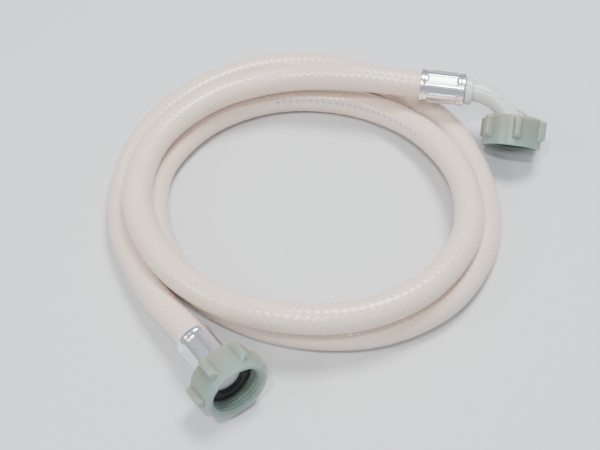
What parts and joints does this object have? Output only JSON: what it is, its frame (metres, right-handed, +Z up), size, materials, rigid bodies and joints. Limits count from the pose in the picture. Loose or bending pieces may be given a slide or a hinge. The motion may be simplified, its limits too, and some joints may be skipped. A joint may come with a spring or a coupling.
{
  "type": "flexible water supply hose",
  "caption": "Coiled flexible water supply hose with a straight union and an angled elbow union, each with a loose lugged plastic nut.",
  "frame": {"origin": "bottom centre of the box round the two unions, on the surface that the coil rests on", "axes": "+Z up off the surface, +Y towards the coil's far side, away from the straight union's mouth, +X towards the elbow union"},
  "size_m": [0.2314, 0.2426, 0.0386],
  "materials": {
    "hose_cover_vinyl": "soft satin PVC with the reinforcement showing through as a fine diamond relief",
    "braid_yarn": "white polyester yarn",
    "hose_liner_vinyl": "smooth PVC",
    "ferrule_aluminium": "bright pressed, softly blurred in the flats",
    "nut_plastic": "milky grey-green moulded nylon, satin",
    "elbow_plastic": "milky moulded nylon, satin gloss",
    "tail_plastic": "milky moulded nylon",
    "washer_rubber": "dull black"
  },
  "bodies": {
    "hose_and_unions": {"hose_cover": "hose_cover_vinyl", "hose_braid": "braid_yarn", "hose_liner": "hose_liner_vinyl", "straight_ferrule": "ferrule_aluminium", "straight_tail": "tail_plastic", "straight_washer": "washer_rubber", "elbow_ferrule": "ferrule_aluminium", "elbow_body": "elbow_plastic", "elbow_washer": "washer_rubber"},
    "straight_union_nut": {"straight_nut": "nut_plastic"},
    "elbow_union_nut": {"elbow_nut": "nut_plastic"}
  },
  "joints": [
    {"name": "straight_nut_spin", "type": "hinge", "parent": "hose_and_unions", "child": "straight_union_nut", "pos_m": [-0.07469, -0.08016, 0.01638], "axis": [0.5839, -0.8084, 0.0749], "continuous": true},
    {"name": "elbow_nut_spin", "type": "hinge", "parent": "hose_and_unions", "child": "elbow_union_nut", "pos_m": [0.07741, 0.07485, 0.02215], "axis": [-0.1305, -0.7594, -0.6374], "continuous": true}
  ]
}
